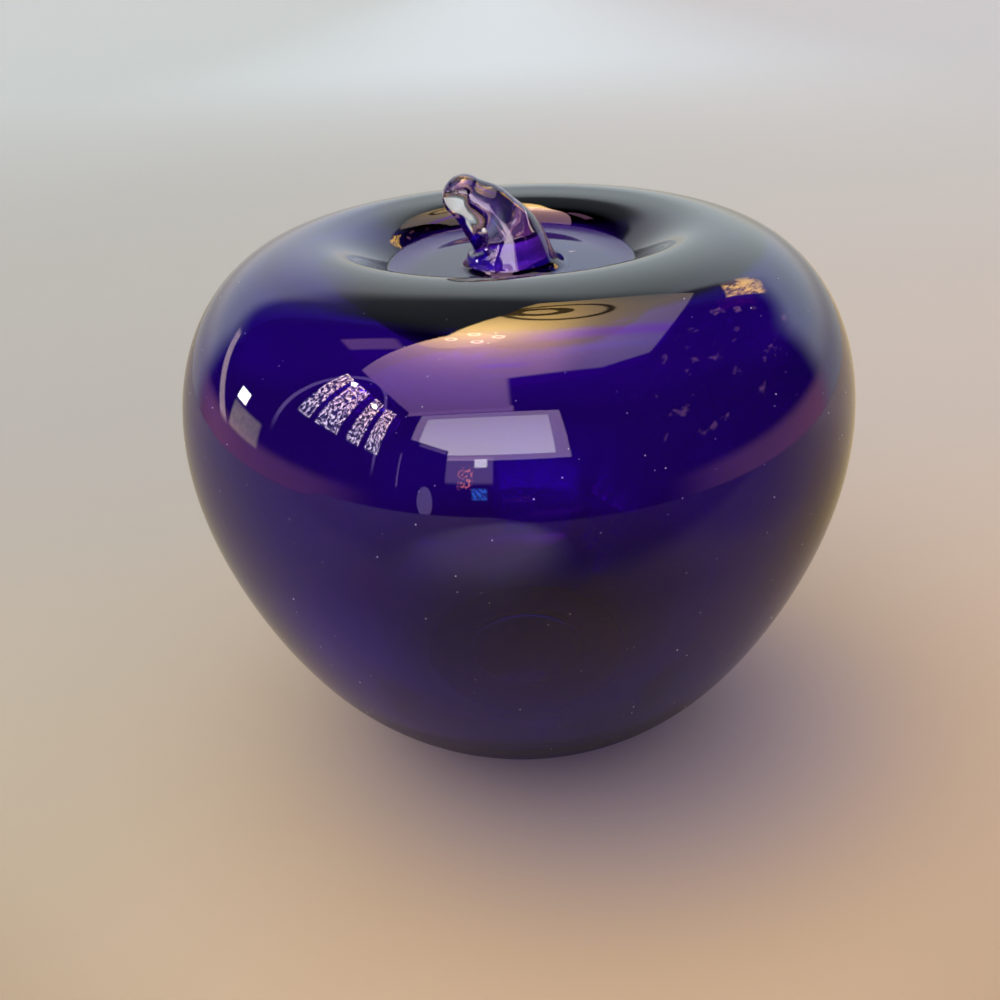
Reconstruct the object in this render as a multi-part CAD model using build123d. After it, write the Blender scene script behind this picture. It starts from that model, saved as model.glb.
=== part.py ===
from build123d import *
import math
import os

# Blown glass apple: four pieces of glass, fused hot, one inside or on top of the other.
# Millimetres, +Z up. The origin is the middle of the ground ring that it stands on.

# Outside of the body
belly_diameter = 98.0
belly_height = 52.1  # widest ring above the table
crown_diameter = 55.4  # ring along the top of the rolled lip
crown_height = 78.6
foot_diameter = 35.6  # outer edge of the ground ring
foot_slope_deg = 20.0  # how the flank leaves the table

# Ground base
pontil_diameter = 22.0  # polished hollow inside the ring
pontil_depth = 1.1

# Dimple in the top
pool_diameter = 35.4  # ring where the clear seal meets the wall
pool_drop = 4.6  # that ring below the crown
pool_sag = 0.6  # middle of the seal below its edge
pool_meniscus = 4.2  # width over which the seal climbs the wall
neck_bore = 9.0  # hole left by the blowpipe
neck_drop = 10.8  # top edge of that hole below the crown

# Glass walls
overlay_wall = 1.3
overlay_base = 2.6  # cobalt under the middle, above the table
gather_wall = 2.7
gather_base = 6.4  # clear glass over the cobalt in the middle
plug_drip = 1.2  # rounded end of the seal inside the bubble

# Stem
stem_root_diameter = 12.7  # where it meets the seal
stem_tip_diameter = 6.2
stem_rise = 9.5  # middle of the tip above the seal
stem_lean = 6.4  # middle of the tip beside the root
stem_offset = 0.4  # root beside the apple's axis
stem_foot_diameter = 16.0  # where the root runs out on the seal
stem_foot_height = 0.9

# Outline of the body. Each pair is a share of the radius and of the height between two named rings.
flank_shares = [(0.394, 0.146), (0.836, 0.555), (0.968, 0.810)]  # foot 0, belly 1
shoulder_shares = [(0.925, 0.392), (0.751, 0.675), (0.418, 0.915)]  # radius: crown 0, belly 1
bowl_shares = [(0.735, 0.430), (0.340, 0.080)]  # neck 0, pool ring 1

# Stem stations: share of the rise, share of the lean, and radius from the tip 0 to the root 1.
# The first lies under the seal's surface, where the stem is cut off flat.
stem_shares = [
    (-0.21, -0.09, 1.2),
    (0.0, 0.0, 1.0),
    (0.21, 0.09, 0.8),
    (0.42, 0.19, 0.615),
    (0.62, 0.41, 0.415),
    (0.81, 0.66, 0.29),
    (1.0, 1.0, 0.0),
]

# How finely the inside faces follow the outside, and where they leave the base
wall_stations = 16
lip_stations = 4
bowl_stations = 5
base_blend_share = 0.16

belly_radius = belly_diameter / 2
crown_radius = crown_diameter / 2
foot_radius = foot_diameter / 2
pontil_radius = pontil_diameter / 2
pool_radius = pool_diameter / 2
pool_height = crown_height - pool_drop
pool_floor = pool_height - pool_sag
neck_radius = neck_bore / 2
neck_height = crown_height - neck_drop
overlay_cover = overlay_wall
gather_cover = overlay_wall + gather_wall
cavity_base = overlay_base + gather_base


def ring(radius, height):
    """A point of the outline: its radius and its height."""
    return Vector(radius, 0, height)


def between(shares, radius_0, radius_1, height_0, height_1):
    """Outline points at shares of the way from one named ring to the next."""
    points = []
    for out, up in shares:
        radius = radius_0 + out * (radius_1 - radius_0)
        height = height_0 + up * (height_1 - height_0)
        points.append(ring(radius, height))
    return points


def heading(degrees):
    """A direction in the outline's plane."""
    return Vector(math.cos(math.radians(degrees)), 0, math.sin(math.radians(degrees)))


def smooth(points, start, end):
    """A curve through outline points that leaves and arrives in the given directions."""
    return Spline(*points, tangents=[start, end], tangent_scalars=[1, 1])


def outer_wall():
    """From the ground ring, round the belly, up to the top of the lip."""
    points = [ring(foot_radius, 0)]
    points += between(flank_shares, foot_radius, belly_radius, 0, belly_height)
    points.append(ring(belly_radius, belly_height))
    points += between(shoulder_shares, crown_radius, belly_radius, belly_height, crown_height)
    points.append(ring(crown_radius, crown_height))
    return smooth(points, heading(foot_slope_deg), heading(180))


def lip():
    """The lip rolls from its top down to the edge of the seal in one arc."""
    return TangentArc(ring(crown_radius, crown_height), ring(pool_radius, pool_height), tangent=heading(180))


def bowl_wall():
    """The bottom of the dimple, from the edge of the seal to the neck."""
    points = [ring(pool_radius, pool_height)]
    points += between(bowl_shares, neck_radius, pool_radius, neck_height, pool_height)
    points.append(ring(neck_radius, neck_height))
    return smooth(points, lip() % 1, heading(180))


def inside_of(curve, depth, first, stations):
    """Points at the given depth in the glass, square to an outline curve."""
    points = []
    for step in range(stations + 1):
        share = first + (1 - first) * step / stations
        way = curve % share
        points.append(curve @ share + Vector(-way.Z, 0, way.X) * depth)
    return points


def inner_face(cover, base_height):
    """A face inside the glass, from the axis over the base up to the neck."""
    points = [ring(0, base_height)]
    points += inside_of(outer_wall(), cover, base_blend_share, wall_stations)
    points += inside_of(lip(), cover, 0, lip_stations)[1:]
    points += inside_of(bowl_wall(), cover, 0, bowl_stations)[1:]
    return smooth(points, heading(0), heading(180))


def turned(edges):
    """Closes an outline and turns it round the apple's axis."""
    return revolve(make_face(edges), Axis.Z)


def cobalt_overlay():
    """The coloured outer layer, open at the neck and ground flat underneath."""
    inner = inner_face(overlay_cover, overlay_base)
    pontil_edge = ring(pontil_radius, 0)
    pontil_top = ring(0, pontil_depth)
    hollow = smooth([pontil_top, pontil_edge], heading(0), heading(-foot_slope_deg))
    return turned(
        [
            hollow,
            Line(pontil_edge, ring(foot_radius, 0)),
            outer_wall(),
            lip(),
            bowl_wall(),
            Line(ring(neck_radius, neck_height), inner @ 1),
            inner,
            Line(ring(0, overlay_base), pontil_top),
        ]
    )


def clear_gather():
    """The first clear gather, blown into the bubble that fills the apple."""
    outer = inner_face(overlay_cover, overlay_base)
    inner = inner_face(gather_cover, cavity_base)
    return turned(
        [
            outer,
            Line(outer @ 1, inner @ 1),
            inner,
            Line(ring(0, cavity_base), ring(0, overlay_base)),
        ]
    )


def dimple_seal():
    """Clear glass pooled in the dimple, with a plug that closes the neck."""
    flat_edge = ring(pool_radius - pool_meniscus, pool_floor)
    pool_edge = ring(pool_radius, pool_height)
    plug_edge = ring(neck_radius, neck_height - gather_cover)
    plug_end = plug_edge - Vector(neck_radius, 0, plug_drip)
    return turned(
        [
            Line(ring(0, pool_floor), flat_edge),
            smooth([flat_edge, pool_edge], heading(0), heading(foot_slope_deg)),
            bowl_wall(),
            Line(ring(neck_radius, neck_height), plug_edge),
            smooth([plug_edge, plug_end], heading(270), heading(180)),
            Line(plug_end, ring(0, pool_floor)),
        ]
    )


def stem_foot():
    """The low skirt where the stem has run out on the seal."""
    outer = ring(stem_foot_diameter / 2, 0)
    inner = ring(stem_root_diameter / 2, stem_foot_height)
    top = ring(0, stem_foot_height)
    skirt = smooth([outer, inner], heading(180 - foot_slope_deg), heading(90))
    return turned([Line(ring(0, 0), outer), skirt, Line(inner, top), Line(top, ring(0, 0))])


def stem():
    """The drawn stem: a spread foot, a taper that leans, and a round tip."""
    root_radius = stem_root_diameter / 2
    tip_radius = stem_tip_diameter / 2
    places = []
    radii = []
    for up, across, wide in stem_shares:
        places.append(Vector(stem_offset - across * stem_lean, 0, pool_floor + up * stem_rise))
        radii.append(tip_radius + wide * (root_radius - tip_radius))
    line = Spline(*places)
    sections = []
    for place, radius in zip(places, radii):
        way = line % line.param_at_point(place)
        sections.append(Plane(origin=place, x_dir=(0, -1, 0), z_dir=way) * Circle(radius))
    root = Vector(stem_offset, 0, pool_floor)
    taper = split(loft(sections), bisect_by=Plane(origin=root), keep=Keep.TOP)
    return taper + Pos(*root) * stem_foot() + Pos(*places[-1]) * Sphere(tip_radius)


os.makedirs("parts", exist_ok=True)
parts = {
    "cobalt_overlay": cobalt_overlay(),
    "clear_gather": clear_gather(),
    "dimple_seal": dimple_seal(),
    "stem": stem(),
}
for name, shape in parts.items():
    export_step(shape, f"parts/{name}.step")
    size = shape.bounding_box().size
    print(name, "volume", round(shape.volume), "size", size.X, size.Y, size.Z)
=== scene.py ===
import math
import random

import bpy
import numpy as np
from mathutils import Matrix, Vector


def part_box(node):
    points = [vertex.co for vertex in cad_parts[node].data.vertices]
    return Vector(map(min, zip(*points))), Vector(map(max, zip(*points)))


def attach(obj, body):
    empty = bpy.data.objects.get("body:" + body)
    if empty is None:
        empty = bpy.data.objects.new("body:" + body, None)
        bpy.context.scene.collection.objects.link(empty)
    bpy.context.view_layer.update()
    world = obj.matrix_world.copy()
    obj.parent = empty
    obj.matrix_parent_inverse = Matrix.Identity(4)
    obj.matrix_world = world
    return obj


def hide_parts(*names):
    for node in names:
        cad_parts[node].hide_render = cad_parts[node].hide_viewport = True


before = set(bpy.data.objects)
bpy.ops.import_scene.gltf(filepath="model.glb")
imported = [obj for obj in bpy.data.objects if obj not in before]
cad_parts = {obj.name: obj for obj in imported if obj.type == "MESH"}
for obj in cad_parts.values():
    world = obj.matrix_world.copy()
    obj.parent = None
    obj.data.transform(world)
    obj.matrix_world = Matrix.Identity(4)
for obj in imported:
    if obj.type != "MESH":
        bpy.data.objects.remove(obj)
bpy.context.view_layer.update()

# Metres, in the solids' own frame: +Z up, -Y towards the viewer, standing on the ground ring
mm = 0.001

# Rings of the body that the frame gives
belly_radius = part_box("cobalt_overlay")[1][0]
crown_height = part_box("cobalt_overlay")[1][2]
pool_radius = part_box("dimple_seal")[1][0]
pool_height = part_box("dimple_seal")[1][2]
plug_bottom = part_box("dimple_seal")[0][2]
stem_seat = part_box("stem")[0][2]

# The other rings, as in the solids
belly_height = 52.1 * mm
crown_radius = 27.7 * mm
foot_radius = 17.8 * mm
foot_slope = math.radians(20)
pontil_radius = 11.0 * mm
pontil_depth = 1.1 * mm
pool_sag = 0.6 * mm
pool_meniscus = 4.2 * mm
neck_radius = 4.5 * mm
neck_height = 67.8 * mm
overlay_wall = 1.3 * mm
overlay_base = 2.6 * mm
gather_wall = 2.7 * mm
gather_base = 6.4 * mm
plug_drip = 1.2 * mm

# Shares of the way from one ring to the next: radius, height
flank_shares = [(0.394, 0.146), (0.836, 0.555), (0.968, 0.810)]
shoulder_shares = [(0.925, 0.392), (0.751, 0.675), (0.418, 0.915)]
bowl_shares = [(0.735, 0.430), (0.340, 0.080)]
base_blend_share = 0.16

# How finely the pieces are turned
turn_steps = 256
turns = np.arange(turn_steps) * math.tau / turn_steps
curve_steps = 14
inner_steps = 4  # the inner outlines have more points to go through
fused_gap = 0.03 * mm
ease = 0.12 * mm  # how far the ground edges are broken

# What the blowing left uneven
pool_lean = 0.055  # rise of the pool from front to back, as a slope
lip_swell = 1.3 * mm  # how much fuller the front of the lip is
lip_roll = 0.12 * mm  # how much higher the back of the lip is, where it rolls over
wall_waver = 0.02 * mm
waver_number = 7  # slow waves that add up to it
waver_counts = (2, 3, 3, 4, 5, 7)  # how often each comes in one turn round the wall
calm_reach = 8 * mm  # the wall wavers fully this far above the table and outside the pool

# Where those changes of the dimple begin and end
lean_end = 26 * mm
lean_heights = (55 * mm, 63 * mm)
swell_rings = (22 * mm, 24.5 * mm, 33 * mm)
swell_heights = (74 * mm, 76 * mm)
roll_rings = (19.3 * mm, 25 * mm)
roll_heights = (73 * mm, 74.5 * mm)

# Two flat seeds in the lip, in millimetres: place, and degrees that each leans and turns
lip_seed_size = (1.5, 1.2, 0.24)
lip_seeds = [
    ((29.6, -8.5, 77.75), 6, -16),
    ((19.6, -8.0, 76.3), -32, -22),
]

# Tiny seeds in the wall and specks of dust on it, in millimetres
wall_seeds = 70
seed_depths = (0.35, 0.8)
seed_sizes = (0.05, 0.06, 0.08, 0.12)
wall_specks = 420
speck_sizes = (0.03, 0.04, 0.05, 0.08)

# Camera: a short lens, as wide as its sensor
eye = Vector((0, -141.4, 112.2)) * mm
yaw_deg = 1.35
pitch_deg = -28.62
roll_deg = -3.03
lens_mm = 36.0
sensor_mm = 36.0
nearest_seen = 10 * mm


def srgb(*tones):
    """A colour written as it shows on screen, 0 to 255, as the light it stands for."""
    light = []
    for tone in tones:
        share = tone / 255
        light.append(share / 12.92 if share <= 0.04045 else ((share + 0.055) / 1.055) ** 2.4)
    return tuple(light)


# Shader maths


class Graph:
    """The nodes of one finish, or of the world."""

    def __init__(self, owner):
        owner.use_nodes = True
        self.tree = owner.node_tree
        self.tree.nodes.clear()

    def add(self, kind, settings=None, sockets=None, output=0):
        """Adds a node: its settings first, then the values or links of its sockets."""
        node = self.tree.nodes.new("ShaderNode" + kind)
        for name, setting in (settings or {}).items():
            setattr(node, name, setting)
        for name, given in (sockets or {}).items():
            socket = node.inputs[name]
            if isinstance(given, Value):
                self.tree.links.new(given.socket, socket)
            elif isinstance(given, tuple):
                socket.default_value = (*given, 1.0)[: len(socket.default_value)]
            else:
                socket.default_value = given
        return Value(self, node.outputs[output]) if node.outputs else node

    def noise(self, place, scale, detail, roughness=0.5):
        """Soft noise, 0 to 1, at a place or direction."""
        sockets = {"Vector": place, "Scale": scale, "Detail": detail, "Roughness": roughness}
        return self.add("TexNoise", None, sockets)

    def clear(self, tint):
        """A face that light goes straight through, tinted."""
        return self.add("BsdfTransparent", None, {"Color": tint})

    def mixed(self, share, first, second):
        """A finish between two others."""
        return self.add("MixShader", None, {0: share, 1: first, 2: second})

    def blend(self, share, first, second):
        """A colour between two others."""
        return self.add("Mix", {"data_type": "RGBA"}, {0: share, 6: first, 7: second}, 2)

    def scaled(self, colour, strength):
        """A colour, times a number that varies."""
        return self.add("VectorMath", {"operation": "SCALE"}, {"Vector": colour, "Scale": strength})

    def sum_of(self, first, second):
        """Two colours of light together."""
        return self.add("VectorMath", {"operation": "ADD"}, {0: first, 1: second})

    def lit(self, light, colour, strength):
        """Light, with a colour added that strongly."""
        return self.sum_of(light, self.scaled(colour, strength))


class Value:
    """One output of a node. A sum on it adds its Math nodes to the same graph."""

    def __init__(self, graph, socket):
        self.graph = graph
        self.socket = socket

    def out(self, name):
        return Value(self.graph, self.socket.node.outputs[name])

    def math(self, operation, first, second=0.0):
        return self.graph.add("Math", {"operation": operation}, {0: first, 1: second})

    def __add__(self, other):
        return self.math("ADD", self, other)

    __radd__ = __add__

    def __sub__(self, other):
        return self.math("SUBTRACT", self, other)

    def __rsub__(self, other):
        return self.math("SUBTRACT", other, self)

    def __mul__(self, other):
        return self.math("MULTIPLY", self, other)

    __rmul__ = __mul__

    def __truediv__(self, other):
        return self.math("DIVIDE", self, other)

    def __rtruediv__(self, other):
        return self.math("DIVIDE", other, self)

    def __pow__(self, other):
        return self.math("POWER", self, other)

    def __neg__(self):
        return self * -1.0

    def at_least(self, other):
        return self.math("MAXIMUM", self, other)

    def clamped(self):
        return self.graph.add("Clamp", None, {"Value": self})

    def root(self):
        return self.math("SQRT", self)

    def rise(self, low, high):
        """0 below low, 1 above high, and smooth between."""
        limits = {"Value": self, "From Min": low, "From Max": high}
        return self.graph.add("MapRange", {"interpolation_type": "SMOOTHSTEP"}, limits)

    def ramp(self, low, high):
        """0 below low, 1 above high, and straight between."""
        return self.graph.add("MapRange", None, {"Value": self, "From Min": low, "From Max": high})

    def within(self, low, high, edge):
        """1 between low and high, with an edge that soft."""
        return self.rise(low - edge, low + edge) * (1 - self.rise(high - edge, high + edge))


# Outlines and meshes


def smooth_curve(points, start, end, steps=curve_steps):
    """Points along the cubic that goes through the given ones, with unit-speed ends."""
    points = np.array(points, float)
    spans = np.linalg.norm(np.diff(points, axis=0), axis=1)
    slopes = np.diff(points, axis=0) / spans[:, None]
    count = len(points)
    system = np.eye(count)
    wanted = np.zeros((count, 2))
    wanted[0] = (math.cos(start), math.sin(start))
    wanted[-1] = (math.cos(end), math.sin(end))
    for i in range(1, count - 1):
        system[i, i - 1 : i + 2] = (spans[i], 2 * (spans[i - 1] + spans[i]), spans[i - 1])
        wanted[i] = 3 * (spans[i] * slopes[i - 1] + spans[i - 1] * slopes[i])
    speeds = np.linalg.solve(system, wanted)
    line = [points[0]]
    for i, span in enumerate(spans):
        for step in range(1, steps + 1):
            t = step / steps
            bend = (2 * t**3 - 3 * t**2 + 1) * points[i] + (3 * t**2 - 2 * t**3) * points[i + 1]
            bend = bend + span * ((t**3 - 2 * t**2 + t) * speeds[i] + (t**3 - t**2) * speeds[i + 1])
            line.append(bend)
    return np.array(line)


def between(shares, radius_0, radius_1, height_0, height_1):
    """Outline points at shares of the way from one named ring to the next."""
    points = []
    for out, up in shares:
        radius = radius_0 + out * (radius_1 - radius_0)
        points.append((radius, height_0 + up * (height_1 - height_0)))
    return points


def outer_wall():
    """From the ground ring, round the belly, up to the top of the lip."""
    points = [(foot_radius, 0)]
    points += between(flank_shares, foot_radius, belly_radius, 0, belly_height)
    points.append((belly_radius, belly_height))
    points += between(shoulder_shares, crown_radius, belly_radius, belly_height, crown_height)
    points.append((crown_radius, crown_height))
    return smooth_curve(points, foot_slope, math.pi)


def lip():
    """One arc from the top of the lip down to the edge of the seal."""
    run = crown_radius - pool_radius
    drop = crown_height - pool_height
    radius = (run**2 + drop**2) / (2 * drop)
    turn = math.asin(run / radius)
    arc = []
    for angle in np.linspace(0, turn, 3 * curve_steps):
        down = radius * (1 - math.cos(angle))
        arc.append((crown_radius - radius * math.sin(angle), crown_height - down))
    return np.array(arc), math.pi + turn


def bowl():
    """The bottom of the dimple, from the edge of the seal to the neck."""
    points = [(pool_radius, pool_height)]
    points += between(bowl_shares, neck_radius, pool_radius, neck_height, pool_height)
    points.append((neck_radius, neck_height))
    return smooth_curve(points, lip()[1], math.pi)


def inset(line, depth):
    """An outline at the given depth in the glass."""
    way = np.gradient(line, axis=0)
    way /= np.linalg.norm(way, axis=1)[:, None]
    return line + depth * np.column_stack([-way[:, 1], way[:, 0]])


def inner_line(depth, base_height):
    """An outline inside the glass, from the axis over the base up to the neck."""
    wall = inset(outer_wall(), depth)
    wall = wall[round(base_blend_share * len(wall)) :: 6]
    parts = [[(0, base_height)], wall, inset(lip()[0], depth)[6::6], inset(bowl(), depth)[6::6]]
    line = np.concatenate(parts)
    line[-1] = (neck_radius, neck_height - depth)
    return smooth_curve(line, 0, math.pi, inner_steps)


def straight(start, end, steps=8):
    """Outline points on a straight line."""
    return np.linspace(start, end, steps)


def eased(*corners):
    """An outline's straight runs, with each corner between them broken by a small round."""
    line = [np.array(corners[0])]
    for before, corner, after in zip(corners, corners[1:], corners[2:]):
        before, corner, after = (np.array(point) for point in (before, corner, after))
        back = (before - corner) / np.linalg.norm(before - corner) * ease
        on = (after - corner) / np.linalg.norm(after - corner) * ease
        for share in (0.0, 0.33, 0.67):
            line.append(corner + back * (1 - share) ** 2 + on * share**2)
    line.append(np.array(corners[-1]))
    return np.array(line)


def mesh_piece(name, shell, finishes, node):
    """A glass piece with its finishes, riding on the body in place of its solid."""
    places, faces, finish_of = shell
    mesh = bpy.data.meshes.new(name)
    mesh.from_pydata([tuple(place) for place in places], [], faces)
    for finish in finishes:
        mesh.materials.append(finish)
    mesh.polygons.foreach_set("material_index", finish_of)
    mesh.polygons.foreach_set("use_smooth", [True] * len(mesh.polygons))
    mesh.update()
    piece = bpy.data.objects.new(name, mesh)
    bpy.context.collection.objects.link(piece)
    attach(piece, "root")
    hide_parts(node)


def ringed(rings, bands):
    """A shell of rings, from the bottom up: places, faces and the finish number of each face.

    A ring of one place is a pole.
    """
    faces = []
    finish_of = []
    first = 0
    for ring, following, band in zip(rings, rings[1:], bands):
        second = first + len(ring)
        for step in range(turn_steps):
            after = (step + 1) % turn_steps
            if len(ring) == 1:
                face = (first, second + after, second + step)
            elif len(following) == 1:
                face = (first + after, second, first + step)
            else:
                face = (first + after, second + after, second + step, first + step)
            faces.append(face)
            finish_of.append(band)
        first = second
    return [place for ring in rings for place in ring], faces, finish_of


def turned(lines, finish_numbers, waver):
    """A shell of joined outlines, turned round the axis, each with its own finish."""
    rings = []
    bands = []
    for line, number in zip(lines, finish_numbers):
        for radius, height in line[1 if rings else 0 :]:
            if radius < 1e-6:
                rings.append([(0, 0, height)])
            else:
                rings.append([waver(radius, height, turn) for turn in turns])
            bands.append(number)
    return ringed(rings, bands[1:])


def hand_made(size, first_draw):
    """The slight, smooth unevenness of a blown wall: a place for each radius, height and turn."""
    dice = random.Random(first_draw)
    waves = []
    for _ in range(waver_number):
        count = dice.choice(waver_counts)
        start = dice.uniform(0, math.tau)
        weight = dice.uniform(-1, 1)
        pitch = dice.uniform(40, 130)
        waves.append((count, start, weight, pitch))

    def place(radius, height, turn):
        off = 0
        for count, start, weight, pitch in waves:
            off += weight * math.sin(count * turn + start + height * pitch)
        # nothing wavers on the table or at the pool, where pieces meet
        calm = min(1, height / calm_reach) * min(1, max(0, radius - pool_radius) / calm_reach)
        reach = radius + size * off * calm
        return settled(reach * math.cos(turn), reach * math.sin(turn), height)

    return place


def hollow(shell, rings, number, way=1):
    """A bubble sealed in a piece: rings of places from its lowest to its highest.

    The faces are turned inwards, or outwards with -1 as the way, as on a speck.
    """
    places, faces, finish_of = shell
    first = len(places)
    around = len(rings[1])
    for ring in rings:
        places.extend(ring)
    for step in range(around):
        after = (step + 1) % around
        faces.append((first, first + 1 + step, first + 1 + after)[::way])
        for row in range(len(rings) - 3):
            low = first + 1 + row * around
            high = low + around
            faces.append((low + after, low + step, high + step, high + after)[::way])
        low = first + 1 + (len(rings) - 3) * around
        faces.append((low + after, low + step, low + around)[::way])
    finish_of.extend([number] * (around * (len(rings) - 1)))


def seed(shell, middle, size, number, lean_deg=0.0, turn_deg=0.0, around=16, rows=10, way=1):
    """A round or flattened bubble, leaned and then turned about the upright."""
    tilt = Matrix.Rotation(math.radians(turn_deg), 3, "Z")
    tilt = tilt @ Matrix.Rotation(math.radians(lean_deg), 3, "Y")
    rings = []
    for row in range(rows + 1):
        up = math.pi * row / rows - math.pi / 2
        ring = []
        for step in range(around if 0 < row < rows else 1):
            angle = step * math.tau / around
            out = math.cos(up)
            spot = Vector((out * math.cos(angle), out * math.sin(angle), math.sin(up)))
            off = Vector([share * reach for share, reach in zip(spot, size)])
            ring.append(tuple(Vector(middle) + tilt @ off))
        rings.append(ring)
    hollow(shell, rings, number, way)


def eased_share(value, low, high):
    """0 below low, 1 above high, and smooth between."""
    share = min(1, max(0, (value - low) / (high - low)))
    return share * share * (3 - 2 * share)


def settled(x, y, z):
    """The dimple as it was left: the pool leans to the front, where the lip is fuller.

    At the back the lip rolls over a little later.
    """
    radius = math.hypot(x, y)
    inside = 1 - eased_share(radius, pool_radius, lean_end)
    z = z + pool_lean * y * inside * eased_share(z, *lean_heights)
    front = eased_share(-y, 0.1 * radius, 0.9 * radius) if radius > 0 else 0
    swell = eased_share(radius, pool_radius, swell_rings[0])
    swell = swell * (1 - eased_share(radius, *swell_rings[1:]))
    back = eased_share(y, -0.2 * radius, 0.6 * radius) if radius > 0 else 0
    roll = eased_share(radius, pool_radius, roll_rings[0])
    roll = roll * (1 - eased_share(radius, *roll_rings))
    z = z + lip_roll * back * roll * eased_share(z, *roll_heights)
    return (x, y + lip_swell * front * swell * eased_share(z, *swell_heights), z)


# Finishes


def glass_finish(name, tint, haze, wave, ground=False):
    """Fire-polished glass: its tint drifts, its skin is faintly wavy and smudged."""
    finish = bpy.data.materials.new(name)
    graph = Graph(finish)
    place = graph.add("TexCoord").out("Object")
    drift = graph.noise(place, 38.0, 3.0)
    smudge = graph.noise(place, 120.0, 5.0, 0.7)
    roughness = haze[0] + (haze[1] - haze[0]) * smudge.rise(0.45, 0.8)
    if ground:
        height = graph.add("SeparateXYZ", None, {0: place}).out("Z")
        roughness = roughness + ground_haze * (1 - height.rise(0.15 * mm, 0.5 * mm))
    waves = graph.noise(place, 60.0, 1.0)
    bump = graph.add("Bump", None, {"Strength": 1.0, "Distance": wave, "Height": waves})
    sockets = {
        "Base Color": graph.blend(drift.rise(0.3, 0.7), tint[0], tint[1]),
        "Roughness": roughness,
        "IOR": glass_ior,
        "Transmission Weight": 1.0,
        "Normal": bump,
    }
    graph.add("OutputMaterial", None, {"Surface": graph.add("BsdfPrincipled", None, sockets)})
    return finish


def fused_finish(name):
    """Where two gathers melted together nothing shows, and light goes straight on."""
    finish = bpy.data.materials.new(name)
    graph = Graph(finish)
    graph.add("OutputMaterial", None, {"Surface": graph.add("BsdfTransparent")})
    return finish


def speck_finish(name):
    """Pale specks on the skin, no two quite the same."""
    finish = bpy.data.materials.new(name)
    graph = Graph(finish)
    place = graph.add("TexCoord").out("Object")
    odds = graph.noise(place, 300.0, 2.0)
    colour = graph.blend(odds.rise(0.35, 0.65), srgb(150, 146, 160), srgb(235, 230, 240))
    speck = graph.add("BsdfPrincipled", None, {"Base Color": colour, "Roughness": 0.8})
    graph.add("OutputMaterial", None, {"Surface": speck})
    return finish


def colour_finish(name):
    """The depth of the cobalt, at its joint with the clear gather.

    It is deeper at a slant, in the lip and under the pool, and thinner on the shoulder.
    """
    finish = bpy.data.materials.new(name)
    graph = Graph(finish)
    place = graph.add("TexCoord").out("Object")
    parts = graph.add("SeparateXYZ", None, {0: place})
    x, y, z = parts, parts.out("Y"), parts.out("Z")
    streaks = graph.noise(place, 30.0, 2.0)
    radius = (x * x + y * y).root()
    drift = (streaks - 0.5) * (3 * mm)

    # how far light runs in the layer when it crosses it at a slant
    slant = graph.add("LayerWeight", None, {"Blend": 0.5}, 1)
    longer = slant / (1.05 - slant) * 0.6

    # where it gathers in the lip, lines the bowl under the pool, and is drawn thin
    base = z.rise(2 * overlay_base, overlay_base)
    in_lip = (radius + drift).within(pool_radius + 1 * mm, crown_radius + 7.5 * mm, 0.6 * mm)
    in_lip = in_lip * z.rise(pool_height - 4 * mm, pool_height - 1 * mm)
    in_lip = in_lip * (1 - 0.85 * x.rise(-15 * mm, -24 * mm))
    in_bowl = (pool_radius - 1 * mm - radius).rise(0.0, 3 * mm) * z.rise(60 * mm, 63 * mm)
    shoulder = (radius + drift).within(crown_radius + 8 * mm, crown_radius + 15 * mm, 1.5 * mm)
    shoulder = shoulder * z.rise(60 * mm, 68 * mm)
    middle = x.within(-28 * mm, 20 * mm, 8 * mm) * (z + 0.17 * y).within(22 * mm, 36 * mm, 6 * mm)

    pale = graph.blend(middle, thin_colour, thin_in_the_middle)
    pale = graph.blend(shoulder, pale, thin_on_the_shoulder)
    deep = graph.blend(x.rise(-42 * mm, -18 * mm), thick_on_the_left, thick_in_the_middle)
    deep = graph.blend(x.rise(8 * mm, 38 * mm), deep, thick_on_the_right)
    lower = 0.16 * z.rise(44 * mm, 24 * mm)
    uneven = 0.25 * (streaks - 0.5) + 0.26 * x.rise(-45 * mm, 45 * mm) - 0.16
    rim = slant.rise(0.17, 0.24) * shoulder
    share = ((longer + uneven + 0.12 * base - lower) * (1 - 0.92 * shoulder) + 0.6 * rim).clamped()

    depth = graph.mixed(share, graph.clear(pale), graph.clear(deep))
    under = graph.blend(x.rise(-2 * mm, 2 * mm), under_the_pool_left, under_the_pool_right)
    depth = graph.mixed(in_bowl, depth, graph.clear(under))
    depth = graph.mixed(in_lip, depth, graph.clear(dense_in_the_lip))
    graph.add("OutputMaterial", None, {"Surface": depth})
    return finish


# Each tint drifts between two
clear_tint = ((0.97, 0.98, 1.0), (1.0, 1.0, 1.0))
cobalt_tint = ((0.09, 0.025, 0.42), (0.115, 0.035, 0.48))
glass_ior = 1.5
ground_haze = 0.42

# What the cobalt lets through at its joint
thin_colour = (0.465, 0.25, 0.7)
thin_in_the_middle = (0.465, 0.25, 0.95)
thin_on_the_shoulder = (0.6, 0.2, 1.0)
thick_on_the_left = (0.06, 0.01, 0.41)
thick_in_the_middle = (0.057, 0.01, 0.5)
thick_on_the_right = (0.045, 0.01, 0.25)
dense_in_the_lip = (0.07, 0.035, 0.06)
under_the_pool_left = (0.12, 0.08, 0.22)
under_the_pool_right = (0.04, 0.006, 0.42)


# The glass pieces

# The finishes on a piece, by number
skin_side, fused_side, depth_side, seed_side, speck_side = range(5)


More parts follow.
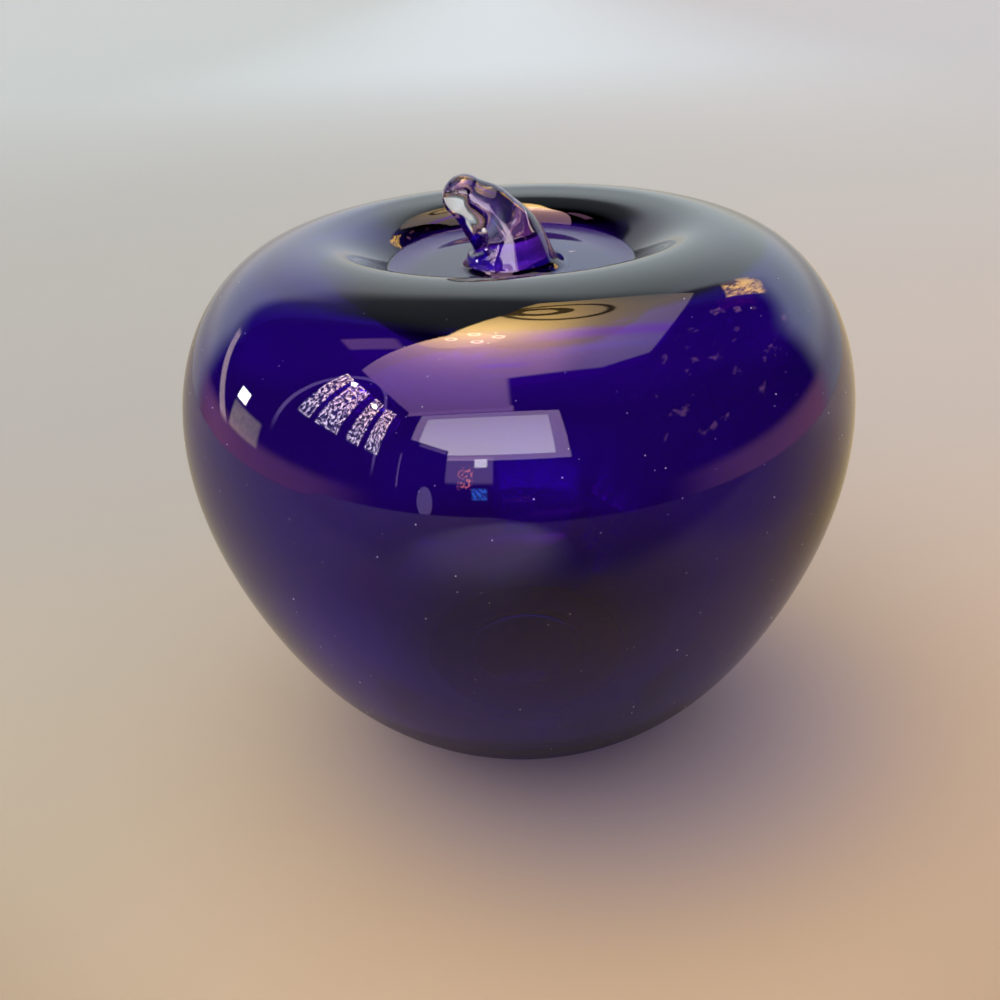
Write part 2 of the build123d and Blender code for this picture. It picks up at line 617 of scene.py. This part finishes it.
def cobalt_overlay():
    """The coloured outer layer: its skin outside, and fused to its neighbours everywhere else."""
    finishes = [
        glass_finish("cobalt_skin", cobalt_tint, (0.0, 0.03), 0.004 * mm, ground=True),
        fused_finish("cobalt_fused"),
        colour_finish("cobalt_depth"),
        glass_finish("seed_skin", clear_tint, (0.0, 0.01), 0.0),
        speck_finish("specks"),
    ]
    wall = outer_wall()
    underside = smooth_curve([(0, pontil_depth), (pontil_radius, 0)], 0, -foot_slope)
    base = eased(underside[-2], (pontil_radius, 0), (foot_radius, 0), wall[1])
    inner = inner_line(overlay_wall, overlay_base)
    lines = [
        np.concatenate([underside[:-1], base[1:-1], wall[1:], lip()[0][1:]]),
        bowl(),
        straight((neck_radius, neck_height), inner[-1]),
        inner[::-1],
    ]
    sides = [skin_side, fused_side, fused_side, depth_side]
    shell = turned(lines, sides, hand_made(wall_waver, 3))
    for spot, lean_deg, turn_deg in lip_seeds:
        size = Vector(lip_seed_size) * mm
        seed(shell, Vector(spot) * mm, size, seed_side, lean_deg, turn_deg)
    dice = random.Random(11)
    for _ in range(wall_seeds):
        line = inset(wall, dice.uniform(*seed_depths) * mm)
        radius, height = line[dice.randrange(12, len(wall) - 12)]
        turn = dice.uniform(0, math.tau)
        size = dice.choice(seed_sizes) * mm
        spot = settled(radius * math.cos(turn), radius * math.sin(turn), height)
        seed(shell, spot, (size, size, size * 1.2), seed_side, around=8, rows=6)
    for _ in range(wall_specks):
        radius, height = wall[dice.randrange(16, len(wall) - 12)]
        turn = dice.uniform(0, math.tau)
        size = dice.choice(speck_sizes) * mm
        spot = settled(radius * math.cos(turn), radius * math.sin(turn), height)
        seed(shell, spot, (size, size, size), speck_side, around=6, rows=4, way=-1)
    mesh_piece("overlay_glass", shell, finishes, "cobalt_overlay")


def clear_gather():
    """The clear gather inside the colour, blown into the bubble."""
    finishes = [
        glass_finish("bubble_skin", clear_tint, (0.0, 0.01), 0.006 * mm),
        fused_finish("gather_fused"),
    ]
    outer = inner_line(overlay_wall + fused_gap, overlay_base + fused_gap)
    inner = inner_line(overlay_wall + gather_wall, overlay_base + gather_base)
    outer[-1][0] = neck_radius
    lines = [outer, straight(outer[-1], inner[-1]), inner[::-1]]
    shell = turned(lines, [fused_side, fused_side, skin_side], hand_made(0.0, 5))
    mesh_piece("gather_glass", shell, finishes, "clear_gather")


def dimple_seal():
    """Clear glass pooled in the dimple, with the plug that closes the neck."""
    finishes = [
        glass_finish("seal_skin", clear_tint, (0.0, 0.015), 0.006 * mm),
        fused_finish("seal_fused"),
    ]
    flat = pool_height - pool_sag
    edge = [(pool_radius - pool_meniscus, flat), (pool_radius - fused_gap, pool_height)]
    edge = smooth_curve(edge, 0, foot_slope)
    wall = inset(bowl(), -fused_gap)[1:]
    plug = neck_radius - fused_gap
    wall[-1] = (plug, neck_height + fused_gap)
    drip = [(plug, plug_bottom + plug_drip), (0, plug_bottom)]
    drip = smooth_curve(drip, 1.5 * math.pi, math.pi)
    seat = flat - 2 * fused_gap
    disc = straight((0, seat), (stem_foot_radius - fused_gap, seat), seat_steps)
    top = np.concatenate([disc, [(stem_foot_radius, seat), (stem_foot_radius, flat)]])
    around = straight((stem_foot_radius + fused_gap, flat), edge[0], seat_steps)
    lines = [
        drip[::-1],
        straight(drip[0], wall[-1]),
        np.concatenate([edge[-1:], wall])[::-1],
        np.concatenate([top[-1:], around, edge[1:]])[::-1],
        top[::-1],
    ]

    def place(radius, height, turn):
        # the fused disc lies under the stem's own foot
        aside = stem_offset * (1 - eased_share(radius, stem_foot_radius, aside_end))
        aside = aside if height > flat - 3 * fused_gap else 0
        return settled(radius * math.cos(turn) + aside, radius * math.sin(turn), height)

    sides = [skin_side, fused_side, fused_side, skin_side, fused_side]
    shell = turned(lines, sides, place)
    for x, y, depth, wide in pool_seeds:
        spot = settled(x * mm, y * mm, flat - depth * mm)
        seed(shell, spot, (wide * mm, 0.8 * wide * mm, 0.3 * wide * mm), skin_side)
    mesh_piece("seal_glass", shell, finishes, "dimple_seal")


# Seeds in the pool, in millimetres: across, along, depth under its surface, half-width
pool_seeds = [
    (9.0, 5.1, 0.7, 1.2),
    (-11.5, -2.0, 1.0, 0.35),
    (-9.2, 3.5, 1.6, 0.22),
    (12.6, -3.4, 0.9, 0.3),
    (3.0, 12.5, 0.8, 0.3),
]

# The stem's middle line and half-widths, from the seal to the middle of its round tip
stem_offset = 0.4 * mm
aside_end = 13 * mm  # the pool round the foot is centred on the axis again out here
stem_foot_radius = 8.0 * mm
stem_foot_height = 0.9 * mm
stem_stations = [
    (0.4 * mm, 0.0 * mm, 6.7 * mm),
    (-0.18 * mm, 2.0 * mm, 5.95 * mm),
    (-0.82 * mm, 4.0 * mm, 5.1 * mm),
    (-2.2 * mm, 5.9 * mm, 4.45 * mm),
    (-3.8 * mm, 7.7 * mm, 4.04 * mm),
    (-6.0 * mm, 9.5 * mm, 3.1 * mm),
]
stem_leaves = math.radians(100)  # the middle line's way up at its foot, and at its tip
stem_arrives = math.radians(142)
taper_leaves = math.radians(-18)  # how its half-width falls off there
taper_arrives = math.radians(-8)
stem_upright = 4 * mm  # below this its sections lie level
seat_steps = 12

# Where the shears pinched it, under the tip: height, turn, depth, and how far it spreads
pinch_height = 7.6 * mm
pinch_turn = math.radians(232)
pinch_depth = 1.1 * mm
pinch_spread = math.radians(34)
pinch_length = 2.6 * mm

# The stretched air line, foot to top, in millimetres: across, up from the seal, half-width
air_along = -1.4
air_line = [
    (-1.9, 0.6, 0.05),
    (-1.92, 0.8, 0.42),
    (-2.0, 1.3, 0.5),
    (-2.1, 1.8, 0.3),
    (-2.35, 2.9, 0.17),
    (-2.65, 4.0, 0.2),
    (-2.85, 4.7, 0.4),
    (-2.95, 5.3, 0.42),
    (-3.05, 5.8, 0.25),
    (-3.1, 5.95, 0.05),
]
air_sides = 14


def stem_skin_stations():
    """Stations of the stem's skin, from its foot to its tip: middle, half-width and way."""
    middles = smooth_curve([(x, z) for x, z, _ in stem_stations], stem_leaves, stem_arrives)
    lengths = [0.0]
    for before, after in zip(stem_stations, stem_stations[1:]):
        lengths.append(lengths[-1] + math.dist(before[:2], after[:2]))
    widths = [(length, station[2]) for length, station in zip(lengths, stem_stations)]
    widths = smooth_curve(widths, taper_leaves, taper_arrives)[:, 1]
    ways = np.gradient(middles, axis=0)
    ways /= np.linalg.norm(ways, axis=1)[:, None]

    stations = []
    for t in (0, 0.01, *np.linspace(0, 1, 16)[1:]):
        height = stem_foot_height * t**4
        run_out = (stem_foot_radius - stem_stations[0][2]) * (1 - t)
        width = np.interp(height, middles[:, 1], widths) + run_out
        across = np.interp(height, middles[:, 1], middles[:, 0])
        across = stem_offset + (across - stem_offset) * t
        stations.append(((across, height), width, (0.0, 1.0)))
    for middle, width, way in zip(middles, widths, ways):
        if middle[1] > stem_foot_height * 1.1:
            upright = 1 - eased_share(middle[1], stem_foot_height, stem_upright)
            stations.append((middle, width, (way[0] * (1 - upright), way[1])))
    tip, tip_width, tip_way = middles[-1], widths[-1], ways[-1]
    for angle in np.linspace(0, math.pi / 2, 24)[1:]:
        middle = tip + tip_way * tip_width * math.sin(angle)
        stations.append((middle, tip_width * math.cos(angle), tip_way))
    return stations, tip_width


def stretched_air(shell):
    """The air line sealed in the stem."""
    ends = []
    for across, up, _ in (air_line[0], air_line[-1]):
        ends.append([tuple(Vector((across, air_along, stem_seat / mm + up)) * mm)])
    rings = ends[:1]
    for up, wide in smooth_curve([(up, wide) for _, up, wide in air_line[1:-1]], 0, 0)[::3]:
        across = np.interp(up, [spot[1] for spot in air_line], [spot[0] for spot in air_line])
        ring = []
        for angle in np.arange(air_sides) * math.tau / air_sides:
            along = air_along + wide * math.sin(angle)
            spot = Vector((across + wide * math.cos(angle), along, up)) * mm
            ring.append((spot.x, spot.y, spot.z + stem_seat))
        rings.append(ring)
    hollow(shell, rings + ends[1:], skin_side)


def stem():
    """The drawn stem: a foot run out on the pool, a leaning taper, a pinch and a round tip."""
    finishes = [
        glass_finish("stem_skin", clear_tint, (0.0, 0.01), 0.004 * mm),
        fused_finish("stem_fused"),
    ]
    stations, tip_width = stem_skin_stations()
    under = stem_seat - fused_gap
    rings = [[(stem_offset, 0, under)]]
    for radius in np.linspace(0, stem_foot_radius - fused_gap, seat_steps)[1:]:
        ring = []
        for turn in turns:
            across = stem_offset + radius * math.cos(turn)
            ring.append(settled(across, radius * math.sin(turn), under))
        rings.append(ring)
    bands = [fused_side] * (len(rings) - 1)
    for (x, z), width, (way_x, way_z) in stations:
        size = math.hypot(way_x, way_z)
        way_x, way_z = way_x / size, way_z / size
        calm = 1 - eased_share(z, 0.5 * mm, stem_upright)
        ring = []
        for turn in turns if width > 1e-6 else turns[:1]:
            off = math.remainder(turn - pinch_turn, math.tau) / pinch_spread
            up = (z - pinch_height) / pinch_length
            pinch = pinch_depth * math.exp(-(off**2) - up**2) * min(1, width / tip_width)
            reach = width - pinch
            across = x + reach * math.cos(turn) * way_z
            along = reach * math.sin(turn)
            height = z - reach * math.cos(turn) * way_x
            low = settled(across, along, stem_seat)[2] - stem_seat
            ring.append((across, along, stem_seat + height + low * calm))
        rings.append(ring)
        bands.append(skin_side)
    shell = ringed(rings, bands)
    stretched_air(shell)
    mesh_piece("stem_glass", shell, finishes, "stem")


# The studio


def oval(across, along, middle, half_width, half_depth):
    """How far out on an oval a place lies: 0 in its middle, 1 on its edge."""
    wide = ((across - middle[0]) / half_width) ** 2.0
    deep = ((along - middle[1]) / half_depth) ** 2.0
    return (wide + deep).root()


def floor():
    """A plain pale sheet, warmer towards the front.

    The glass mirrors it as a table that ends close by, with painted shade, a painted glow and
    painted reflections that only the glass sees.
    """
    finish = bpy.data.materials.new("pale_sheet")
    graph = Graph(finish)
    place = graph.add("TexCoord").out("Object")
    parts = graph.add("SeparateXYZ", None, {0: place})
    across, along = parts, parts.out("Y")
    far = graph.blend(across.rise(-0.5, 0.0), srgb(176, 187, 187), srgb(196, 208, 214))
    far = graph.blend(across.rise(0.0, 0.5), far, srgb(179, 182, 185))
    back = graph.blend(across.rise(-0.25, 0.25), srgb(166, 170, 166), srgb(179, 178, 175))
    middle = graph.blend(across.rise(-0.12, 0.12), srgb(169, 167, 161), srgb(185, 174, 165))
    front = graph.blend(across.rise(-0.09, 0.0), srgb(184, 170, 146), srgb(211, 180, 147))
    front = graph.blend(across.rise(0.02, 0.07), front, srgb(204, 175, 147))
    reach = (across * across + along * along).root()
    colour = graph.blend(along.rise(-0.07, 0.12), front, middle)
    colour = graph.blend(along.rise(0.05, 0.45), colour, back)
    near = reach.rise(0.07, 0.1) * (-along).rise(0.02, 0.07) * 0.45
    colour = graph.blend(near, colour, srgb(160, 132, 98))

    # painted shadow round the base, tinted violet as light through the glass would tint it
    painted_violet_shadow = oval(across, along, (0.014, -0.01), 0.06, 0.052)
    colour = graph.blend(0.9 - 0.9 * painted_violet_shadow.rise(0.3, 1.0), colour, srgb(184, 165, 175))
    colour = graph.blend(reach.rise(0.4, 1.2), colour, far)

    # what the glass mirrors of it, and what only its outer skin does. Painted shade darkens the
    # floor that the glass mirrors: ahead, at the right and close round the base.
    path = graph.add("LightPath")
    mirrored = path.out("Is Glossy Ray")
    outside = 1 - path.out("Is Transmission Ray")
    ahead = (-along).rise(0.07, 0.15) * (0.5 + 0.42 * across.rise(-0.12, 0.04))
    shade = 0.6 * across.rise(0.05, 0.15) * (0.1 - along).rise(0.0, 0.2)
    shade = shade.at_least(0.28 + 0.42 * reach.rise(0.042, 0.022))
    shade = ahead.at_least(shade * outside)
    # a painted pale glow inside the painted shade ahead
    painted_glow_patch = 1 - oval(across, along, (-0.035, -0.26), 0.09, 0.2).rise(0.5, 1.0)
    dark = graph.blend(painted_glow_patch, srgb(54, 42, 42), srgb(250, 230, 255))
    # painted violet reflection: the floor ahead on the left turns violet where only the outer skin
    # mirrors it
    painted_violet_left = (0.03 - across).rise(0.0, 0.06) * (-along).rise(0.0, 0.05)
    colour = graph.blend(0.5 * painted_violet_left * outside * mirrored, colour, srgb(172, 142, 222))
    # painted amber reflection: at the sides the floor turns warm and brighter where only the outer
    # skin mirrors it
    amber = graph.blend(along.rise(0.0, 0.12), srgb(194, 170, 85), srgb(235, 212, 165))
    amber = graph.blend(across.rise(-0.05, 0.05), srgb(186, 172, 132), amber)
    sides = (across * across).root().rise(0.055, 0.1) * (0.65 + 0.25 * across.rise(-0.05, 0.05))
    colour = graph.blend(sides * outside * mirrored, colour, amber)
    # the painted shade and glow, only on what the glass mirrors
    colour = graph.blend(mirrored * shade, colour, dark)
    sheet = graph.add("BsdfPrincipled", None, {"Base Color": colour, "Roughness": 0.75})
    end = reach - 0.16 * (0.05 - across).rise(0.0, 0.15) * (-along).rise(0.15, 0.3)
    gone = mirrored * end.rise(0.38, 0.44)
    seen = graph.mixed(gone, sheet, graph.clear((1.0, 1.0, 1.0)))
    graph.add("OutputMaterial", None, {"Surface": seen})

    mesh = bpy.data.meshes.new("floor")
    far_out = 14.0
    corners = [
        (-far_out, -far_out, 0),
        (far_out, -far_out, 0),
        (far_out, far_out, 0),
        (-far_out, far_out, 0),
    ]
    mesh.from_pydata(corners, [], [(0, 1, 2, 3)])
    mesh.materials.append(finish)
    sheet_object = bpy.data.objects.new("floor", mesh)
    bpy.context.collection.objects.link(sheet_object)


# The room that the glass mirrors, as a box round the apple. Its ceiling is one unit up.
room_left = -0.82
room_right = 0.64
room_front = -0.9
room_back = 0.82
downlights = [(-0.22, 0.12), (-0.13, 0.06), (-0.05, 0.12), (-0.13, 0.175)]


def ring_mask(across, along, middle, half_width, half_depth, inner, outer):
    """1 on an oval ring drawn on one side of the room."""
    return oval(across, along, middle, half_width, half_depth).within(inner, outer, 0.06)


def overhead(graph, x, y, z):
    """The warm ceiling, brightest round its small lamps, with a dark shelf at its far left."""
    up = z.at_least(0.001)
    across = x / up
    along = y / up
    plate = across.within(room_left, room_right, 0.008) * along.within(room_front, room_back, 0.01)
    plate = plate * z.rise(0.0, 0.01)
    shelf_edge = -0.8 + 0.58 * along.ramp(-0.165, 0.18) + 0.2 * along.ramp(0.18, 0.52)
    shelf_edge = shelf_edge + 0.1 * along.ramp(0.52, 0.84)
    plate = plate * (across - shelf_edge).rise(-0.012, 0.012)
    corner_edge = -0.44 + 0.25 * across + 0.17 * across.ramp(0.42, 0.66)
    corner = (across + 0.04).rise(-0.02, 0.02) * (corner_edge - along).rise(-0.02, 0.02)
    plate = plate * (1 - corner)
    away = ((across + 0.1) ** 2.0 + (along - 0.2) ** 2.0).root()
    glow = 1.6 + 18.0 / (1.0 + (away / 0.24) ** 2.0)
    warm = ring_mask(across, along, (-0.2, 0.1), 0.2, 0.14, -1.0, 0.8)
    glow = glow * (1 - 0.35 * across.rise(0.12, 0.32)) + 3.0 * warm
    tone = graph.blend(along.rise(0.0, 0.26), (1.0, 0.56, 0.5), (1.0, 0.64, 0.24))
    tone = graph.blend((0.1 - across - along).rise(0.3, 1.2), tone, (0.95, 0.5, 0.85))
    tone = graph.blend((across - 0.1).rise(0.0, 0.4), tone, (0.9, 0.7, 0.62))
    streak = (along - 0.07 - 0.22 * across).within(-0.07, 0.07, 0.07) * across.rise(-0.05, 0.35)
    tone = graph.blend(streak * 0.85, tone, (0.9, 0.35, 1.7))
    second = along.within(-0.31, -0.25, 0.02) * across.within(-0.16, 0.05, 0.05)
    tone = graph.blend(second * 0.4, tone, (0.8, 0.3, 1.6))
    shade = ring_mask(across, along, (0.14, 0.54), 0.17, 0.17, 0.86, 1.04)
    shade = shade + ring_mask(across, along, (0.08, 0.56), 0.10, 0.09, 0.5, 1.0)
    light = graph.scaled(tone, glow * plate * (1 - 0.88 * shade.clamped()))
    for lamp in downlights:
        ring = ring_mask(across, along, lamp, 0.024, 0.024, 0.55, 1.0)
        light = graph.lit(light, (14.0, 10.0, 8.0), ring)
    strip = across.within(-0.74, -0.44, 0.02) * (along + 0.3 * across).within(-0.1, 0.06, 0.02)
    strip = strip * z.rise(0.0, 0.01)
    return graph.lit(light, (1.5, 0.7, 1.2), strip), plate


def front_wall(graph, x, y, z):
    """A pale door in a frame, with dark furniture and a few coloured things low in front of it."""
    depth = (-y).at_least(0.001)
    across = x / depth * -room_front
    height = z / depth * -room_front
    facing = (-y).rise(0.0, 0.01)
    grain = graph.add("CombineXYZ", None, {0: across * 70.0, 1: height * 40.0, 2: 7.0})
    clutter = graph.noise(grain, 1.0, 2.0)
    furniture = across.within(-1.2, -0.38, 0.006)
    furniture = furniture * (height + 0.5 * across).within(-2.0, 0.232, 0.008)
    clear = facing * (1 - furniture)
    wall = height.within(0.93, 1.04, 0.008) * across.within(-0.8, -0.02, 0.01) * facing
    light = graph.scaled((2.8, 1.5, 2.6), wall)
    skirting = across.within(-0.8, -0.13, 0.006) * height.within(0.14, 0.36, 0.02)
    light = graph.lit(light, (1.5, 1.0, 1.8), skirting * clear)
    casing = across.within(-0.66, 0.27, 0.006) * height.within(0.33, 0.92, 0.006)
    light = graph.lit(light, (3.6, 2.4, 3.6), casing * clear)
    door = across.within(-0.59, 0.19, 0.005) * height.within(0.38, 0.84, 0.005)
    door = door * clear * (0.75 + 0.5 * height.ramp(0.8, 0.4))
    light = graph.lit(light, (4.4, 4.4, 4.3), door)
    edge = (height + 0.5 * across).within(0.19, 0.225, 0.006) * across.within(-0.58, -0.39, 0.01)
    edge = edge + across.within(-0.71, -0.695, 0.003) * height.within(0.08, 0.4, 0.02)
    light = graph.lit(light, (2.2, 1.4, 2.6), edge * facing * (0.2 + clutter))
    arch = oval(across, height, (-0.5, -0.02), 0.05, 0.12).rise(1.05, 0.95)
    light = graph.lit(light, (1.5, 1.1, 2.0), arch * facing)
    glints = across.within(-0.31, -0.235, 0.01) * height.within(0.1, 0.27, 0.02)
    glints = glints * clutter.rise(0.5, 0.6)
    light = graph.lit(light, (9.0, 2.2, 1.2), glints * facing)
    blue = across.within(-0.235, -0.16, 0.008) * height.within(0.02, 0.1, 0.01)
    blue = blue * (0.3 + clutter.rise(0.4, 0.6))
    light = graph.lit(light, (0.3, 1.6, 8.0), blue * facing)
    pane = across.within(-0.225, -0.16, 0.006) * height.within(0.27, 0.34, 0.008)
    return graph.lit(light, (11.0, 10.5, 11.5), pane * facing)


def left_wall(graph, x, y, z):
    """A window of four panes with leaves behind, and small bright things beyond it."""
    depth = (-x).at_least(0.001)
    along = y / depth * -room_left
    height = z / depth * -room_left
    facing = (-x).rise(0.0, 0.01)
    grain = graph.add("CombineXYZ", None, {0: along * 58.0, 1: height * 26.0})
    leaves = graph.noise(grain, 1.0, 4.0, 0.7)
    panes = along.within(-0.235, -0.145, 0.004) + along.within(-0.44, -0.27, 0.004)
    panes = panes + along.within(-0.62, -0.51, 0.004) + along.within(-0.8, -0.67, 0.004)
    reach = height.within(0.33, 0.87, 0.006)
    bright = 0.04 + 4.4 * leaves.rise(0.47, 0.62)
    tone = graph.blend(height.rise(0.35, 0.8), (4.2, 3.6, 4.2), (7.5, 5.0, 4.8))
    light = graph.scaled(tone, panes * reach * bright * facing)
    for place in ((-0.27, 0.83), (-0.56, 0.78)):
        glint = ring_mask(along, height, place, 0.03, 0.03, -1.0, 0.9)
        light = graph.lit(light, (60.0, 58.0, 55.0), glint * facing)
    arch = oval(along, height, (-0.42, 0.2), 0.36, 0.85).within(0.97, 1.03, 0.012)
    light = graph.lit(light, (1.6, 1.1, 2.4), arch * height.rise(0.1, 0.3) * facing)
    lamp = along.within(0.14, 0.22, 0.006) * height.within(0.13, 0.2, 0.006) * facing
    light = graph.lit(light, (26.0, 26.0, 26.0), lamp)
    shelf = along.within(0.0, 0.22, 0.012) * height.within(-0.02, 0.11, 0.012) * facing
    light = graph.lit(light, (2.8, 2.2, 1.4), shelf * (0.1 + 1.1 * leaves))
    curtain = (along - 0.9 * height).within(0.26, 0.33, 0.01) * height.within(-0.02, 0.35, 0.02)
    return graph.lit(light, (3.0, 2.2, 2.0), curtain * facing * (0.3 + leaves))


def right_wall(graph, x, y, z):
    """A small amber lamp far back, and faint things on dark shelves."""
    depth = x.at_least(0.001)
    along = y / depth * room_right
    height = z / depth * room_right
    facing = x.rise(0.0, 0.01)
    grain = graph.add("CombineXYZ", None, {0: along * 9.0, 1: height * 9.0, 2: 3.0})
    things = graph.noise(grain, 1.0, 3.0, 0.6)
    lamp = along.within(0.56, 0.86, 0.012) * (height - 0.35 * along).within(0.24, 0.5, 0.015)
    light = graph.scaled((7.0, 4.0, 0.7), lamp * facing * (0.12 + 1.1 * things.rise(0.42, 0.6)))
    shelves = along.within(-0.6, 0.45, 0.05) * height.within(0.15, 0.85, 0.05) * facing
    return graph.lit(light, (1.4, 0.6, 0.9), shelves * things.rise(0.6, 0.7))


def room():
    """The studio's light: a pale sweep behind, and in front the room that the glass mirrors."""
    world = bpy.data.worlds.new("studio")
    bpy.context.scene.world = world
    graph = Graph(world)
    parts = graph.add("SeparateXYZ", None, {0: graph.add("TexCoord")})
    x, y, z = parts, parts.out("Y"), parts.out("Z")
    path = graph.add("LightPath")
    seen_ray = path.math("MAXIMUM", path, path.out("Is Transmission Ray"))
    after_matt = path.out("Diffuse Depth").rise(0.5, 0.6)

    light, ceiling = overhead(graph, x, y, z)
    walls = graph.sum_of(front_wall(graph, x, y, z), left_wall(graph, x, y, z))
    walls = graph.sum_of(walls, right_wall(graph, x, y, z))
    light = graph.lit(light, walls, 1 - ceiling)

    # the pale sweep, which ends lower at both sides
    level = (x * x + y * y).at_least(0.0001).root()
    aside = x / level
    behind = y / level
    top = 0.33 + 0.27 * aside.rise(-0.8, -0.5) + 0.15 * aside.rise(-0.15, 0.25)
    top = top - 0.27 * aside.rise(0.52, 0.66) - 0.1 * aside.rise(0.66, 0.9)
    ground = graph.blend(x.rise(-0.6, 0.0), srgb(203, 206, 203), srgb(212, 217, 219))
    ground = graph.blend(x.rise(0.0, 0.6), ground, srgb(199, 196, 194))
    bright = graph.blend(aside.rise(-0.5, 0.1), (0.86, 0.9, 0.95), (1.0, 1.12, 1.18))
    bright = graph.blend(0.8 * z.rise(0.22, 0.0), bright, (1.02, 0.95, 0.8))
    sweep = (behind + 0.1 * aside).rise(0.42, 0.62) * (1 - (z - top).rise(-0.1, 0.09))
    faint = graph.scaled((0.22, 0.24, 0.28), behind.rise(0.55, 0.95) * (1 - ceiling))
    bright = graph.scaled(bright, 0.6 + 0.4 * z.rise(-0.05, 0.12))
    mirrored = graph.blend(sweep, graph.sum_of(light, faint), bright)
    edges = (aside * aside).rise(0.45, 0.95) * z.within(-0.2, 0.0, 0.05)
    mirrored = graph.lit(mirrored, (0.9, 0.35, 0.3), edges * (1 - sweep))
    seen = graph.blend(1 - z.rise(0.35, 0.6), light, ground)

    # what falls on matt things: soft, and stronger from the upper left
    toward = x * -0.5 + y * 0.15 + z * 0.85
    soft = graph.scaled((1.0, 0.985, 0.975), 0.45 + 1.6 * toward.at_least(0.0) ** 2.0)

    colour = graph.blend(path.out("Is Glossy Ray"), soft, mirrored)
    colour = graph.blend(seen_ray, colour, seen)
    colour = graph.blend(after_matt, colour, soft)
    graph.add("OutputWorld", None, {"Surface": graph.add("Background", None, {"Color": colour})})


def camera():
    """The photograph's own viewpoint."""
    lens = bpy.data.cameras.new("viewpoint")
    lens.lens = lens_mm
    lens.sensor_width = sensor_mm
    lens.clip_start = nearest_seen
    viewpoint = bpy.data.objects.new("viewpoint", lens)
    turn = Matrix.Rotation(math.radians(yaw_deg), 4, "Z")
    turn = turn @ Matrix.Rotation(math.radians(90 + pitch_deg), 4, "X")
    turn = turn @ Matrix.Rotation(math.radians(roll_deg), 4, "Z")
    viewpoint.matrix_world = Matrix.Translation(eye) @ turn
    bpy.context.collection.objects.link(viewpoint)
    bpy.context.scene.camera = viewpoint


camera()
room()
floor()
cobalt_overlay()
clear_gather()
dimple_seal()
stem()

scene = bpy.context.scene
scene.view_settings.view_transform = "Standard"
scene.cycles.max_bounces = 32
scene.cycles.transmission_bounces = 32
scene.cycles.glossy_bounces = 12
scene.cycles.transparent_max_bounces = 64
